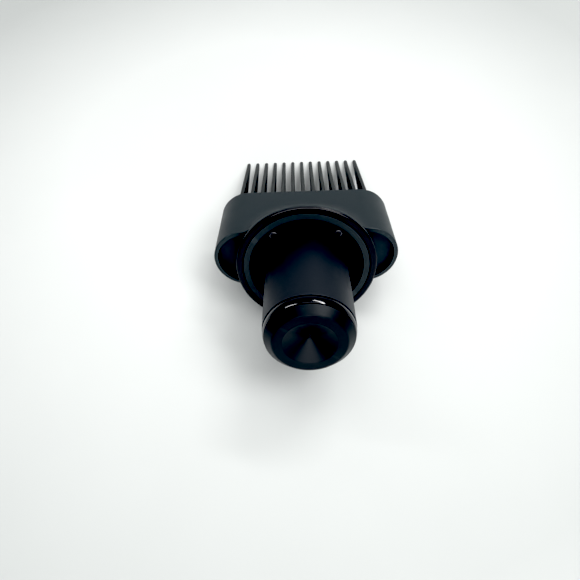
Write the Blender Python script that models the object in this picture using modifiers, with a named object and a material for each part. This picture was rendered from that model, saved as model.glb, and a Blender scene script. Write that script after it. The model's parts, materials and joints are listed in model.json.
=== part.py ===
"""Wide-tooth comb attachment for a hollow-barrel hair dryer.

Every piece is drawn in the frame of the plug's axis: X to the right, Y forward along the
axis to the comb teeth, Z up, with the origin in the middle of the collar's rear face.
One empty carries that frame. It leans forward until the attachment rests on the foot of
its collar and on its tooth tips, as it lies on a table, and Z = 0 is that table.
"""
from math import asin, atan2, cos, pi, radians, sin, sqrt

import bmesh
import bpy
from mathutils import Vector

# Driving dimensions, in metres ------------------------------------------------------
GAP = 0.0003                  # room between pieces that touch

COLLAR_RADIUS = 0.0330        # outside of the round collar
FACE_OUTER_RADIUS = 0.0299    # matte mating face on the collar
FACE_INNER_RADIUS = 0.0267    # air inlet inside it
RING_DEPTH = 0.00075          # thickness of the glossy ring
NECK_START = 0.00115          # where the shell's neck begins
NECK_SHOULDER = 0.0020        # end of the neck's straight part
NECK_SLOPE = 0.65             # fall of the hood towards the flat body
NECK_NARROWING = 0.12         # the hood gets narrower more slowly than lower

BODY_WIDTH_REAR = 0.0890
BODY_WIDTH_FRONT = 0.0876
BODY_TOP = 0.0152             # flat of the top, above the axis
BODY_BOTTOM = 0.0162          # flat of the underside, below it
BODY_REAR = 0.0093
BODY_FRONT = 0.0463
RIM = 0.0020                  # wall round the two end recesses and the front opening
WALL = 0.0026                 # wall of the body between them
HOOD_WALL = 0.0020
EDGE = 0.0005                 # rounding of the body's edges
FILLET = 0.0040               # blend between hood and body
RECESS_FLOOR = 0.0124         # outside of the end covers
COVER_THICKNESS = 0.0015
LEDGE = 0.0142                # seat of the end covers
PLATE_SEAT = 0.0430           # seat of the comb's plate
HOOD_STATIONS = (0.0180, 0.0225, 0.0260, 0.0285, 0.0310, 0.0335, 0.0360)  # hood runs out

PLUG_RADIUS = 0.0195
PLUG_BORE = 0.0175
PLUG_FRONT = 0.0037
PLUG_REAR = -0.0419
TRIM_FRONT = -0.0424
TRIM_REAR = -0.0460
TRIM_REAR_RADIUS = 0.0188
NOSE_FLAT_RADIUS = 0.0152
NOSE_END = -0.0497
DISH_RADIUS = 0.0113
DISH_DEPTH = 0.0047
NOSE_WALL = 0.0018

MAGNETS = 8
MAGNET_INNER_RADIUS = 0.0276
MAGNET_OUTER_RADIUS = 0.0287
MAGNET_REAR = 0.0016
MAGNET_FRONT = 0.0043
MAGNET_ANGLE = radians(30)
CARRIER_FRONT = 0.0046

VANE_ANGLES = tuple(radians(a) for a in (40, 90, 140, 220, 270, 320))
SCREW_ANGLES = tuple(radians(a) for a in (40, 140, 220, 320))
SCREW_CIRCLE = 0.0229
SCREW_BOSS_RADIUS = 0.0026
SCREW_BOSS_REAR = 0.0033
SCREW_BOSS_FRONT = 0.0057
VANE_THICKNESS = 0.0014
BAND_INNER_RADIUS = 0.0253
BAND_OUTER_RADIUS = 0.0264

DUCT_REAR = 0.0059
DUCT_FRONT = 0.0420
DUCT_WALL = 0.0013

TEETH = 13
TOOTH_PITCH = 0.00554
TOOTH_TIP = 0.1112
TOOTH_ROOT_TOP = 0.0110
TOOTH_ROOT_BOTTOM = -0.0055
TOOTH_TIP_TOP = 0.0
TOOTH_TIP_BOTTOM = -0.00183
TOOTH_ROOT_THICKNESS = 0.00215
TOOTH_TIP_THICKNESS = 0.0020
TOOTH_NOSE = 0.0012           # length of its rounded tip
PLATE_REAR = 0.0433
PLATE_FRONT = 0.0456
WINDOW_WIDTH = 0.0026
WINDOW_HEIGHT = 0.0150
PILLAR_X = 0.0384
PILLAR_RADIUS = 0.0019
PILLAR_REAR = 0.0198
LUG_REAR = 0.0176

TURN_STEPS = 48
INNER_STEPS = 36
SMALL_STEPS = 16


# Scene ------------------------------------------------------------------------------
for old in list(bpy.data.objects):
    bpy.data.objects.remove(old, do_unlink=True)

PARTS = bpy.data.collections.new("wide_tooth_comb_attachment")
CUTTERS = bpy.data.collections.new("cutters")
bpy.context.scene.collection.children.link(PARTS)
bpy.context.scene.collection.children.link(CUTTERS)

AXIS = bpy.data.objects.new("plug_axis", None)
PARTS.objects.link(AXIS)


def material(name, colour, roughness, metallic=0.0):
    made = bpy.data.materials.new(name)
    made.use_nodes = True
    shader = made.node_tree.nodes["Principled BSDF"]
    shader.inputs["Base Color"].default_value = (*colour, 1.0)
    shader.inputs["Roughness"].default_value = roughness
    shader.inputs["Metallic"].default_value = metallic
    return made


SATIN_BLACK = material("satin_black", (0.030, 0.032, 0.036), 0.55)
DEEP_BLACK = material("deep_black", (0.008, 0.008, 0.009), 0.45)
GLOSS_BLACK = material("gloss_black", (0.006, 0.006, 0.007), 0.08)
SLATE = material("slate_face", (0.035, 0.048, 0.055), 0.50)
DUCT_BLACK = material("duct_black", (0.012, 0.012, 0.012), 0.60)
STEEL = material("blackened_steel", (0.10, 0.10, 0.11), 0.35, 1.0)
NICKEL = material("nickel_magnet", (0.62, 0.60, 0.56), 0.22, 1.0)


# Ways of making a mesh ----------------------------------------------------------------
def add_object(name, mesh, finish, smooth_below=radians(35)):
    piece = bpy.data.objects.new(name, mesh)
    PARTS.objects.link(piece)
    piece.parent = AXIS
    mesh.materials.append(finish)
    mesh.shade_smooth()
    mesh.set_sharp_from_angle(angle=smooth_below)
    return piece


def add_cutter(name, mesh):
    cutter = bpy.data.objects.new(name, mesh)
    CUTTERS.objects.link(cutter)
    cutter.parent = AXIS
    cutter.hide_render = True
    cutter.display_type = "WIRE"
    return cutter


def boolean(piece, cutter, operation):
    step = piece.modifiers.new(cutter.name, "BOOLEAN")
    step.operation = operation
    step.object = cutter


def profile_mesh(name, points, closed):
    """A profile of (radius, y) points in the XY plane, with the outside running rearwards."""
    mesh = bpy.data.meshes.new(name)
    count = len(points)
    edges = [(i, i + 1) for i in range(count - 1)]
    if closed:
        edges.append((count - 1, 0))
    mesh.from_pydata([(r, y, 0.0) for r, y in points], edges, [])
    return mesh


def turned(name, points, finish, closed=True, steps=TURN_STEPS, cutter=False):
    """A profile turned about the Y axis; an open one starts and ends on the axis."""
    mesh = profile_mesh(name, points, closed)
    piece = add_cutter(name, mesh) if cutter else add_object(name, mesh, finish)
    screw = piece.modifiers.new("turn", "SCREW")
    screw.axis = "Y"
    screw.angle = 2 * pi
    screw.steps = steps
    screw.render_steps = steps
    screw.use_merge_vertices = True
    screw.merge_threshold = 0.00001
    screw.use_smooth_shade = True
    return piece


def loft_mesh(name, sections):
    """A closed skin through sections of (x, y, z) points that all have the same count.

    Its quads are twisted, so they are split into flat triangles before any cut."""
    shape = bmesh.new()
    rings = [[shape.verts.new(point) for point in section] for section in sections]
    count = len(rings[0])
    for near, far in zip(rings, rings[1:]):
        for i in range(count):
            j = (i + 1) % count
            shape.faces.new((near[i], near[j], far[j], far[i]))
    shape.faces.new(rings[0])
    shape.faces.new(rings[-1])
    bmesh.ops.recalc_face_normals(shape, faces=shape.faces)
    bmesh.ops.triangulate(shape, faces=[face for face in shape.faces if len(face.verts) == 4])
    mesh = bpy.data.meshes.new(name)
    shape.to_mesh(mesh)
    shape.free()
    return mesh


def box_mesh(name, low, high):
    shape = bmesh.new()
    bmesh.ops.create_cube(shape, size=1.0)
    for vert in shape.verts:
        for k in range(3):
            vert.co[k] = low[k] if vert.co[k] < 0 else high[k]
    mesh = bpy.data.meshes.new(name)
    shape.to_mesh(mesh)
    shape.free()
    return mesh


def add_rod(shape, radius, rear, front, x=0.0, z=0.0, steps=SMALL_STEPS):
    """A cylinder along Y, added to a bmesh."""
    made = bmesh.ops.create_cone(
        shape, cap_ends=True, segments=steps, radius1=radius, radius2=radius, depth=front - rear)
    for vert in made["verts"]:
        old = vert.co.copy()
        vert.co = Vector((x + old.x, (front + rear) / 2 - old.z, z + old.y))


def rods_mesh(name, rods):
    shape = bmesh.new()
    for rod in rods:
        add_rod(shape, **rod)
    bmesh.ops.recalc_face_normals(shape, faces=shape.faces)
    mesh = bpy.data.meshes.new(name)
    shape.to_mesh(mesh)
    shape.free()
    return mesh


# Outlines across the axis ---------------------------------------------------------------
def stadium_point(half_width, half_height, along):
    """A point of a stadium's upper right quarter, from its side (0) to its middle (1)."""
    straight = half_width - half_height
    arc = half_height * pi / 2
    distance = along * (arc + straight)
    if distance < arc:
        angle = distance / half_height
        return straight + half_height * cos(angle), half_height * sin(angle)
    return straight - (distance - arc), half_height


def outline_directions(quarter=13):
    """Directions that share the points of the body's outline evenly round it."""
    angles = []
    for i in range(quarter):
        x, z = stadium_point(BODY_WIDTH_REAR / 2, BODY_TOP, i / quarter)
        angles.append(atan2(z, x))
    first = angles + [pi / 2]
    second = [pi - a for a in reversed(angles)]
    upper = first + second
    return upper + [a + pi for a in upper[1:-1]]


DIRECTIONS = outline_directions()
INNER_DIRECTIONS = outline_directions(quarter=8)


def stadium_radius(angle, half_width, half_height):
    c, s = abs(cos(angle)), abs(sin(angle))
    straight = half_width - half_height
    if s * straight >= c * half_height:
        return half_height / s
    inside = half_height ** 2 - (straight * s) ** 2
    return straight * c + sqrt(inside)


def oval_radius(angle, half_width, half_height, power=2.0):
    c, s = abs(cos(angle)), abs(sin(angle))
    return ((c / half_width) ** power + (s / half_height) ** power) ** (-1.0 / power)


def blend_larger(first, second):
    """The larger of two radii, rounded where they cross."""
    near = max(FILLET - abs(first - second), 0.0) / FILLET
    return max(first, second) + near * near * FILLET / 4


def section(y, radius_of, directions=DIRECTIONS):
    return [(radius_of(a) * cos(a), y, radius_of(a) * sin(a)) for a in directions]


def body_half_width(y):
    share = (y - BODY_REAR) / (BODY_FRONT - BODY_REAR)
    return (BODY_WIDTH_REAR + (BODY_WIDTH_FRONT - BODY_WIDTH_REAR) * share) / 2


def body_reach(angle):
    """The flat's distance from the axis on the side that a direction points to."""
    return BODY_TOP if sin(angle) >= 0.0 else BODY_BOTTOM


def hood_size(y, inset=0.0):
    """Half width and half height of the hood's oval."""
    beyond = max(y - NECK_SHOULDER, 0.0)
    half_width = COLLAR_RADIUS - NECK_NARROWING * beyond - inset
    half_height = COLLAR_RADIUS - NECK_SLOPE * beyond - inset
    return half_width, max(half_height, BODY_TOP / 2)


def neck_section(y, inset):
    size = hood_size(y, inset)
    return section(y, lambda a: oval_radius(a, *size))


def body_section(y, body_inset, hood_inset):
    size = hood_size(y, hood_inset)
    half_width = body_half_width(y) - body_inset
    return section(y, lambda a: blend_larger(
        stadium_radius(a, half_width, body_reach(a) - body_inset), oval_radius(a, *size)))


# Shell and its covers -------------------------------------------------------------------
def outer_shell():
    skin = [
        neck_section(NECK_START, EDGE / 2),
        neck_section(NECK_START + EDGE / 2, 0.0),
        neck_section(NECK_SHOULDER, 0.0),
        neck_section(0.0056, 0.0),
        neck_section(BODY_REAR - 0.0001, 0.0),
        body_section(BODY_REAR, EDGE, 0.0),
        body_section(BODY_REAR + EDGE, 0.0, 0.0),
    ]
    skin += [body_section(y, 0.0, 0.0) for y in (0.0135, *HOOD_STATIONS)]
    skin.append(body_section(BODY_FRONT - EDGE, 0.0, 0.0))
    skin.append(body_section(BODY_FRONT, EDGE, 0.0))
    shell = add_object("outer_shell", loft_mesh("outer_shell", skin), SATIN_BLACK)

    hollow = [neck_section(y, HOOD_WALL) for y in (0.0005, NECK_SHOULDER, 0.008, LEDGE - 0.0001)]
    hollow += [body_section(y, WALL, HOOD_WALL) for y in (LEDGE, *HOOD_STATIONS)]
    hollow.append(body_section(PLATE_SEAT - 0.0001, WALL, HOOD_WALL))
    hollow.append(body_section(PLATE_SEAT, RIM, HOOD_WALL))
    hollow.append(body_section(BODY_FRONT + 0.001, RIM, HOOD_WALL))
    boolean(shell, add_cutter("shell_hollow", loft_mesh("shell_hollow", hollow)), "DIFFERENCE")
    for side, word in ((-1, "left"), (1, "right")):
        recess = ear_mesh(f"{word}_recess", side, 0.0, BODY_REAR - 0.001, LEDGE + GAP)
        boolean(shell, add_cutter(f"{word}_recess", recess), "DIFFERENCE")


def ear_mesh(name, side, inset, rear, front, steps=12):
    """The space between the round neck and the body's end, as a prism along Y."""
    half_width = body_half_width(rear) - RIM - inset
    neck_width, neck_height = hood_size(BODY_REAR)
    neck_width += inset
    neck_height += inset
    upper = asin((BODY_TOP - RIM - inset) / neck_height)
    lower = asin((BODY_BOTTOM - RIM - inset) / neck_height)
    outline = []
    for i in range(steps + 1):
        angle = pi / 2 - pi * i / steps
        reach = body_reach(angle) - RIM - inset
        outline.append((half_width - reach + reach * cos(angle), reach * sin(angle)))
    for i in range(steps + 1):
        angle = -lower + (lower + upper) * i / steps
        outline.append((neck_width * cos(angle), neck_height * sin(angle)))
    sections = [[(side * x, y, z) for x, z in outline] for y in (rear, front)]
    return loft_mesh(name, sections)


def end_covers():
    for side, word in ((-1, "left"), (1, "right")):
        name = f"{word}_end_cover"
        plate = ear_mesh(name, side, GAP, RECESS_FLOOR, RECESS_FLOOR + COVER_THICKNESS)
        add_object(name, plate, DEEP_BLACK)


# Collar ---------------------------------------------------------------------------------
def collar_ring():
    bore = FACE_OUTER_RADIUS + 0.00015
    turned("collar_ring", [
        (COLLAR_RADIUS - 0.0001, RING_DEPTH),
        (COLLAR_RADIUS, 0.0006),
        (COLLAR_RADIUS - 0.0003, 0.00028),
        (COLLAR_RADIUS - 0.0008, 0.00008),
        (COLLAR_RADIUS - 0.0014, 0.0),
        (bore + 0.0002, 0.0),
        (bore, 0.00015),
        (bore, 0.0018),
        (bore + 0.0006, 0.0018),
        (bore + 0.0006, RING_DEPTH),
    ], GLOSS_BLACK)


def arc_mesh(name, inner, outer, rear, front, middle, width, steps=6):
    """A block curved about the axis."""
    def ring(y):
        angles = [middle + width * (i / steps - 0.5) for i in range(steps + 1)]
        out = [(outer * sin(a), y, outer * cos(a)) for a in angles]
        back = [(inner * sin(a), y, inner * cos(a)) for a in reversed(angles)]
        return out + back
    return loft_mesh(name, [ring(rear), ring(front)])


def magnet_carrier():
    outer = FACE_OUTER_RADIUS - 0.00015
    carrier = turned("magnet_carrier", [
        (outer - 0.0012, CARRIER_FRONT),
        (outer, 0.0029),
        (outer, 0.00015),
        (outer - 0.00015, 0.0),
        (FACE_INNER_RADIUS + 0.0002, 0.0),
        (FACE_INNER_RADIUS, 0.0002),
        (FACE_INNER_RADIUS, CARRIER_FRONT),
    ], SLATE)
    for i in range(MAGNETS):
        middle = 2 * pi * (i + 0.5) / MAGNETS
        pocket = arc_mesh(
            f"magnet_pocket_{i + 1}", MAGNET_INNER_RADIUS - GAP, MAGNET_OUTER_RADIUS + GAP,
            MAGNET_REAR - GAP, CARRIER_FRONT + 0.001, middle,
            MAGNET_ANGLE + 2 * GAP / MAGNET_INNER_RADIUS)
        boolean(carrier, add_cutter(f"magnet_pocket_{i + 1}", pocket), "DIFFERENCE")
        block = arc_mesh(
            f"magnet_{i + 1}", MAGNET_INNER_RADIUS, MAGNET_OUTER_RADIUS, MAGNET_REAR,
            MAGNET_FRONT, middle, MAGNET_ANGLE)
        add_object(f"magnet_{i + 1}", block, NICKEL)
    turned("magnet_retainer", [
        (0.0281, 0.0055), (0.0285, CARRIER_FRONT + GAP),
        (FACE_INNER_RADIUS + 0.0002, CARRIER_FRONT + GAP), (FACE_INNER_RADIUS + 0.0002, 0.0055),
    ], DUCT_BLACK, steps=INNER_STEPS)


# Air path -------------------------------------------------------------------------------
def duct_section(y, wall):
    """The duct's oval at y: half width, half height and squareness follow the air path."""
    if y < 0.024:
        half_height = 0.0267 - NECK_SLOPE * (y - DUCT_REAR)
        half_width = 0.0267 + 0.0006 * min((y - DUCT_REAR) / 0.006, 1.0)
        power = 2.0
    else:
        share = (y - 0.024) / (DUCT_FRONT - 0.024)
        half_height = 0.0085 + (0.0147 - 0.0085) * (1 - share) ** 2.2
        half_width = 0.0273 + (0.0345 - 0.0273) * share
        power = 2.0 + 2.0 * share
    return section(y, lambda a: oval_radius(a, half_width + wall, half_height + wall, power),
                   INNER_DIRECTIONS)


def inner_duct():
    stations = (DUCT_REAR, 0.010, 0.014, 0.019, 0.024, 0.027, 0.030, 0.035, DUCT_FRONT)
    outside = [duct_section(y, DUCT_WALL) for y in stations]
    duct = add_object("inner_duct", loft_mesh("inner_duct", outside), DUCT_BLACK)
    for side, word in ((-1, "left"), (1, "right")):
        ends = sorted((side * 0.0262, side * (PILLAR_X + 0.0018)))
        lug = box_mesh(f"{word}_lug", (ends[0], LUG_REAR, -0.004), (ends[1], LUG_REAR + 0.0018, 0.004))
        boolean(duct, add_cutter(f"{word}_lug", lug), "UNION")
    inside = [duct_section(y, 0.0) for y in stations]
    inside[0] = [(x, y - 0.002, z) for x, y, z in inside[0]]
    inside[-1] = [(x, y + 0.002, z) for x, y, z in inside[-1]]
    boolean(duct, add_cutter("duct_hollow", loft_mesh("duct_hollow", inside)), "DIFFERENCE")
    bosses = screw_rods(0.0021, 0.0062, 0.0128)
    boolean(duct, add_cutter("duct_bosses", rods_mesh("duct_bosses", bosses)), "UNION")
    holes = screw_rods(0.0012, 0.0050, 0.0116)
    holes += [dict(radius=0.0014, rear=LUG_REAR - 0.001, front=LUG_REAR + 0.003, x=x, z=0.0)
              for x in (-PILLAR_X, PILLAR_X)]
    boolean(duct, add_cutter("duct_holes", rods_mesh("duct_holes", holes)), "DIFFERENCE")


def screw_rods(radius, rear, front):
    """One rod at each collar screw."""
    return [dict(radius=radius, rear=rear, front=front,
                 x=SCREW_CIRCLE * sin(a), z=SCREW_CIRCLE * cos(a)) for a in SCREW_ANGLES]


def screw_points(head_front, head_height, head_radius, shank_radius, end):
    """A pan-head screw on the Y axis whose head faces rearwards."""
    back = head_front - head_height
    return [
        (0.0, end), (shank_radius * 0.6, end), (shank_radius, end - 0.0006),
        (shank_radius, head_front), (head_radius, head_front), (head_radius, back + 0.0005),
        (head_radius * 0.8, back), (0.0, back),
    ]


def screws():
    for side, word in ((-1, "left"), (1, "right")):
        points = screw_points(LUG_REAR - GAP, 0.0016, 0.0023, 0.0009, 0.0275)
        screw = turned(f"{word}_duct_screw", points, STEEL, closed=False, steps=SMALL_STEPS)
        screw.location = (side * PILLAR_X, 0.0, 0.0)
    for i, angle in enumerate(SCREW_ANGLES):
        points = screw_points(SCREW_BOSS_REAR - GAP, 0.0012, 0.0021, 0.0009, 0.0110)
        screw = turned(f"collar_screw_{i + 1}", points, STEEL, closed=False, steps=SMALL_STEPS)
        screw.location = (SCREW_CIRCLE * sin(angle), 0.0, SCREW_CIRCLE * cos(angle))


# Comb -----------------------------------------------------------------------------------
def tooth_sections(x):
    root = PLATE_FRONT - 0.0010
    stations = [(root, 1.0), (0.065, 1.0), (0.090, 1.0)]
    for rest in (1.0, 0.45, 0.12, 0.0):
        stations.append((TOOTH_TIP - TOOTH_NOSE * rest, max(sqrt(1 - (1 - rest) ** 2), 0.25)))
    sections = []
    for y, fullness in stations:
        share = (y - BODY_FRONT) / (TOOTH_TIP - BODY_FRONT)
        top = TOOTH_ROOT_TOP + (TOOTH_TIP_TOP - TOOTH_ROOT_TOP) * share
        bottom = TOOTH_ROOT_BOTTOM + (TOOTH_TIP_BOTTOM - TOOTH_ROOT_BOTTOM) * share
        middle = (top + bottom) / 2
        half = (top - bottom) / 2 * fullness
        thickness = TOOTH_ROOT_THICKNESS + (TOOTH_TIP_THICKNESS - TOOTH_ROOT_THICKNESS) * share
        side = thickness / 2 * fullness
        corner = side * 0.45
        outline = ((side, half - corner), (side - corner, half), (corner - side, half),
                   (-side, half - corner), (-side, corner - half), (corner - side, -half),
                   (side - corner, -half), (side, corner - half))
        sections.append([(x + u, y, middle + w) for u, w in outline])
    return sections


def comb_plate():
    inset = RIM + GAP + 0.00005
    rear = section(PLATE_REAR, lambda a: stadium_radius(
        a, body_half_width(PLATE_FRONT) - inset, body_reach(a) - inset))
    front = [(x, PLATE_FRONT, z) for x, _, z in rear]
    plate = add_object("comb_plate", loft_mesh("comb_plate", [rear, front]), SATIN_BLACK)

    pillars = [dict(radius=PILLAR_RADIUS, rear=PILLAR_REAR, front=PLATE_REAR + 0.001, x=x, z=0.0)
               for x in (-PILLAR_X, PILLAR_X)]
    boolean(plate, add_cutter("plate_pillars", rods_mesh("plate_pillars", pillars)), "UNION")
    bores = [dict(radius=0.0012, rear=PILLAR_REAR - 0.001, front=0.030, x=x, z=0.0)
             for x in (-PILLAR_X, PILLAR_X)]
    boolean(plate, add_cutter("pillar_bores", rods_mesh("pillar_bores", bores)), "DIFFERENCE")

    for i in range(TEETH - 1):
        x = (i + 0.5 - (TEETH - 1) / 2) * TOOTH_PITCH
        window = box_mesh(
            f"window_{i + 1}", (x - WINDOW_WIDTH / 2, PLATE_REAR - 0.001, -WINDOW_HEIGHT / 2),
            (x + WINDOW_WIDTH / 2, PLATE_FRONT + 0.001, WINDOW_HEIGHT / 2))
        boolean(plate, add_cutter(f"window_{i + 1}", window), "DIFFERENCE")
    for i in range(TEETH):
        x = (i - (TEETH - 1) / 2) * TOOTH_PITCH
        tooth = loft_mesh(f"tooth_{i + 1}", tooth_sections(x))
        boolean(plate, add_cutter(f"tooth_{i + 1}", tooth), "UNION")


# Core and plug --------------------------------------------------------------------------
def core_spider():
    hub = turned("core_spider", [
        (0.0191, 0.0120), (PLUG_RADIUS, 0.0116), (PLUG_RADIUS, PLUG_FRONT + GAP),
        (0.0172, PLUG_FRONT + GAP), (0.0172, 0.0010), (0.0157, 0.0010), (0.0157, 0.0070),
        (0.0016, 0.0070), (0.0016, 0.0088), (0.0169, 0.0088), (0.0169, 0.0120),
    ], DUCT_BLACK, steps=INNER_STEPS)
    band = turned("spider_band", [
        (BAND_OUTER_RADIUS, 0.0056), (BAND_OUTER_RADIUS, 0.0012), (BAND_INNER_RADIUS, 0.0012),
        (BAND_INNER_RADIUS, 0.0056),
    ], None, steps=INNER_STEPS, cutter=True)
    boolean(hub, band, "UNION")
    reach = (BAND_INNER_RADIUS + BAND_OUTER_RADIUS) / 2
    deep = ((0.0188, 0.0046), (reach, 0.0034), (reach, 0.0052), (0.0215, 0.0100), (0.0188, 0.0105))
    shallow = ((0.0188, 0.0046), (reach, 0.0034), (reach, 0.0052), (0.0188, 0.0057))
    for i, angle in enumerate(VANE_ANGLES):
        outline = shallow if angle in SCREW_ANGLES else deep
        along = Vector((sin(angle), 0.0, cos(angle)))
        across = Vector((cos(angle), 0.0, -sin(angle))) * (VANE_THICKNESS / 2)
        sides = []
        for sign in (-1, 1):
            sides.append([along * r + Vector((0.0, y, 0.0)) + sign * across for r, y in outline])
        vane = add_cutter(f"vane_{i + 1}", loft_mesh(f"vane_{i + 1}", sides))
        boolean(hub, vane, "UNION")
    bosses = screw_rods(SCREW_BOSS_RADIUS, SCREW_BOSS_REAR, SCREW_BOSS_FRONT)
    boolean(hub, add_cutter("spider_bosses", rods_mesh("spider_bosses", bosses)), "UNION")
    holes = screw_rods(0.0012, SCREW_BOSS_REAR - 0.001, SCREW_BOSS_FRONT + 0.006)
    boolean(hub, add_cutter("spider_holes", rods_mesh("spider_holes", holes)), "DIFFERENCE")


def flow_diverter():
    def oval(y, inset):
        share = (y - 0.0123) / (0.0380 - 0.0123)
        half_width = 0.0193 + (0.0250 - 0.0193) * share - inset
        half_height = 0.0193 + (0.0022 - 0.0193) * share - inset
        return section(y, lambda a: oval_radius(a, half_width, half_height), INNER_DIRECTIONS)
    stations = (0.0123, 0.018, 0.024, 0.030, 0.0345, 0.0380)
    outside = [oval(y, 0.0) for y in stations]
    body = add_object("flow_diverter", loft_mesh("flow_diverter", outside), DUCT_BLACK)
    inside = [oval(y, 0.0014) for y in stations[:4]]
    inside[0] = [(x, y - 0.001, z) for x, y, z in inside[0]]
    boolean(body, add_cutter("diverter_hollow", loft_mesh("diverter_hollow", inside)), "DIFFERENCE")


def plug():
    turned("plug_tube", [
        (PLUG_RADIUS - 0.0003, PLUG_FRONT), (PLUG_RADIUS, PLUG_FRONT - 0.0003),
        (PLUG_RADIUS, PLUG_REAR + 0.0003), (PLUG_RADIUS - 0.0003, PLUG_REAR),
        (PLUG_BORE, PLUG_REAR), (PLUG_BORE, PLUG_FRONT),
    ], SATIN_BLACK)
    bulge = 0.0003
    length = TRIM_FRONT - TRIM_REAR
    band = []
    for i in range(7):
        share = i / 6
        radius = PLUG_RADIUS - 0.0003 + (TRIM_REAR_RADIUS - PLUG_RADIUS + 0.0003) * share
        band.append((radius + bulge * sin(pi * share), TRIM_FRONT - length * share))
    turned("plug_trim_ring", band + [(PLUG_BORE, TRIM_REAR), (PLUG_BORE, TRIM_FRONT)], GLOSS_BLACK)


def nose_cap():
    front = TRIM_REAR - GAP
    skirt = PLUG_BORE - GAP
    floor = NOSE_END + DISH_DEPTH
    slope = DISH_DEPTH / DISH_RADIUS
    turned("nose_cap", [
        (0.0, -0.0400), (0.00155, -0.0400), (0.00155, -0.0260), (0.0036, -0.0260),
        (0.0036, floor + NOSE_WALL), (0.0115, floor + NOSE_WALL - slope * 0.0079),
        (0.0138, -0.0470), (0.0157, -0.0448), (0.0157, -0.0360), (skirt, -0.0360),
        (skirt, front), (TRIM_REAR_RADIUS - 0.0001, front),
        (TRIM_REAR_RADIUS - 0.0001, front - 0.0002),
        (0.0163, -0.0489), (0.0158, -0.0494), (NOSE_FLAT_RADIUS, NOSE_END + 0.00005),
        (0.0146, NOSE_END), (DISH_RADIUS + 0.0003, NOSE_END), (DISH_RADIUS - 0.0002, NOSE_END + 0.0003),
        (0.0009, floor), (0.0007, floor - 0.0004), (0.0, floor - 0.0005),
    ], SATIN_BLACK, closed=False)
    turned("tie_screw", [
        (0.0, 0.0110), (0.0022, 0.0110), (0.0027, 0.0105), (0.0027, 0.0088 + GAP),
        (0.0012, 0.0088 + GAP), (0.0012, -0.0385), (0.0008, -0.0390), (0.0, -0.0390),
    ], STEEL, closed=False, steps=SMALL_STEPS)


# Rest -----------------------------------------------------------------------------------
def rest_on_table():
    """Lean the axis until collar and tooth tips touch the table, and centre the footprint."""
    foot = (NECK_SHOULDER, -COLLAR_RADIUS)
    rise = (TOOTH_TIP_BOTTOM - TOOTH_ROOT_BOTTOM) / (TOOTH_TIP - BODY_FRONT)
    tip = (TOOTH_TIP - TOOTH_NOSE, TOOTH_TIP_BOTTOM - rise * TOOTH_NOSE)
    lean = atan2(tip[1] - foot[1], tip[0] - foot[0])
    AXIS.rotation_euler = (-lean, 0.0, 0.0)
    bpy.context.view_layer.update()
    seen = bpy.context.evaluated_depsgraph_get()
    corners = []
    for piece in PARTS.objects:
        if piece.type == "MESH":
            shape = piece.evaluated_get(seen)
            corners += [shape.matrix_world @ vert.co for vert in shape.data.vertices]
    low = Vector([min(point[k] for point in corners) for k in range(3)])
    high = Vector([max(point[k] for point in corners) for k in range(3)])
    AXIS.location = (-(low.x + high.x) / 2, -(low.y + high.y) / 2, -low.z)
    bpy.context.view_layer.update()


outer_shell()
end_covers()
collar_ring()
magnet_carrier()
inner_duct()
screws()
comb_plate()
core_spider()
flow_diverter()
plug()
nose_cap()
rest_on_table()
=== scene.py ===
"""Looks of a wide-tooth comb attachment for a hollow-barrel hair dryer.

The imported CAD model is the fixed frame. Every CAD node that shows is replaced by a finer
mesh of the same size in the same place. The fine meshes are drawn in the frame of the
plug's axis: X to the right, Y forward along the axis to the comb teeth, Z up, with the
origin in the middle of the collar's rear face, in metres. Nodes that are shut inside keep
their CAD meshes and get a better material.
"""

import json
from math import asin, atan2, cos, hypot, pi, radians, sin, sqrt, tan

import bmesh
import bpy
from mathutils import Matrix, Vector


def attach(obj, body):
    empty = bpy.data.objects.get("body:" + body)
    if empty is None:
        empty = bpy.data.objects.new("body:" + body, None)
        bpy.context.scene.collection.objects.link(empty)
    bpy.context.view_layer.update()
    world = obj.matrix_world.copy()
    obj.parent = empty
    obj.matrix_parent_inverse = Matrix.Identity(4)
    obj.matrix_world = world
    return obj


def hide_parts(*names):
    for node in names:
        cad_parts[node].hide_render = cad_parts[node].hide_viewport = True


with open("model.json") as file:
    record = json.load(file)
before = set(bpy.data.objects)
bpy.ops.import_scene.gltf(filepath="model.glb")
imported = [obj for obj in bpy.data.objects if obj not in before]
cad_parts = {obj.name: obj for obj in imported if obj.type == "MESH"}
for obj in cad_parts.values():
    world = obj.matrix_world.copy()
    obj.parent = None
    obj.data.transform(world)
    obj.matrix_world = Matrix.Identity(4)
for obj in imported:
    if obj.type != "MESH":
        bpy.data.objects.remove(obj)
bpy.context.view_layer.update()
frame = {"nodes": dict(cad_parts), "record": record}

# The plug's axis frame ------------------------------------------------------------------
FACE_MIDDLE_RADIUS = 0.0283      # the collar_face mount's distance from the axis


def axis_frame():
    """From the axis frame to the row frame, read from the collar's mount."""
    face = next(m for m in frame["record"]["mounts"] if m["name"] == "collar_face")
    forward = -Vector(face["axis"]).normalized()
    right = Vector((1.0, 0.0, 0.0))
    up = right.cross(forward)
    origin = Vector(face["pos_m"]) - up * FACE_MIDDLE_RADIUS
    columns = Matrix((right, forward, up)).transposed()
    return Matrix.Translation(origin) @ columns.to_4x4()


AXIS = axis_frame()


def axis_points(node):
    """A CAD node's vertices in the axis frame."""
    back = AXIS.inverted()
    return [back @ vert.co for vert in frame["nodes"][node].data.vertices]


def turned_span(node):
    """Rear end, front end, smallest and largest radius of a turned CAD node."""
    points = axis_points(node)
    lengths = [p.y for p in points]
    sizes = [hypot(p.x, p.z) for p in points]
    return min(lengths), max(lengths), min(sizes), max(sizes)


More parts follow.
